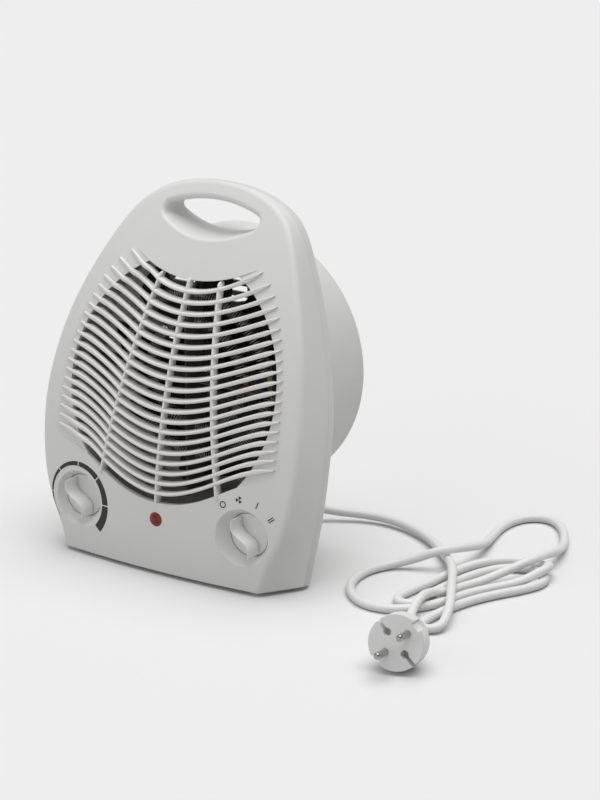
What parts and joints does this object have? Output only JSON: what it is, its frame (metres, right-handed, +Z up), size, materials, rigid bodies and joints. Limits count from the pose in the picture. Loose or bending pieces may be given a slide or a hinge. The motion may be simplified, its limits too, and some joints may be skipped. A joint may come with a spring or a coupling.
{
  "type": "fan heater",
  "caption": "Upright white fan heater with a leaning domed front, sagging rib grille, two dials, a lamp, a carrying slot, a drum back and a corded round plug.",
  "frame": {"origin": "bottom centre of the heater without its cord, on the plane the feet stand on", "axes": "+X to the right seen from the front, +Y from the front to the back along the fan axis, +Z up"},
  "size_m": [0.3525, 0.3135, 0.2624],
  "materials": {
    "white_plastic": "smooth",
    "grille_plastic": "smooth",
    "white_rubber": "satin",
    "plug_plastic": "smooth",
    "pin_metal": "polished",
    "foot_rubber": "matte",
    "screw_steel": "satin",
    "mica": "matte",
    "heating_wire": "satin",
    "terminal_brass": "satin",
    "cutout_case": "satin",
    "bracket_metal": "satin",
    "core_steel": "laminated",
    "winding_copper": "lacquered",
    "shaft_steel": "ground",
    "dark_plastic": "matte",
    "spindle_plastic": "matte",
    "red_lens": "polished",
    "lamp_glass": "clear",
    "lead_insulation": "satin"
  },
  "bodies": {
    "housing": {"front_shell": "white_plastic", "rear_shell": "white_plastic", "front_grille": "grille_plastic", "cord_gland": "white_rubber", "power_cord": "white_rubber", "plug_body": "plug_plastic", "plug_pins": "pin_metal", "feet": "foot_rubber", "casing_screws": "screw_steel", "motor_bolts": "screw_steel", "clamp_screws": "screw_steel", "mica_tunnel": "mica", "mica_board_level": "mica", "mica_board_upright": "mica", "inner_heating_coil": "heating_wire", "outer_heating_coil": "heating_wire", "coil_terminals": "terminal_brass", "thermal_cutout": "cutout_case", "front_bearing_bracket": "bracket_metal", "rear_bearing_bracket": "bracket_metal", "motor_core": "core_steel", "motor_winding": "winding_copper", "thermostat_body": "dark_plastic", "switch_body": "dark_plastic", "cord_clamp": "dark_plastic", "lamp_lens": "red_lens", "pilot_lamp": "lamp_glass", "lead_wires": "lead_insulation"},
    "fan_rotor": {"fan_impeller": "dark_plastic", "fan_clip": "screw_steel", "motor_shaft": "shaft_steel", "rotor": "core_steel"},
    "thermostat_dial": {"thermostat_spindle": "spindle_plastic", "thermostat_knob": "white_plastic"},
    "switch_dial": {"switch_spindle": "spindle_plastic", "switch_knob": "white_plastic"}
  },
  "joints": [
    {"name": "fan_spin", "type": "hinge", "parent": "housing", "child": "fan_rotor", "pos_m": [0, 0.0376, 0.1318], "axis": [0, 1, 0], "continuous": true},
    {"name": "thermostat_turn", "type": "hinge", "parent": "housing", "child": "thermostat_dial", "pos_m": [-0.0705, -0.0457, 0.0412], "axis": [0, 1, 0], "range_deg": [-108, 162]},
    {"name": "switch_turn", "type": "hinge", "parent": "housing", "child": "switch_dial", "pos_m": [0.0705, -0.0457, 0.0412], "axis": [0, 1, 0], "range_deg": [0, 90]}
  ]
}
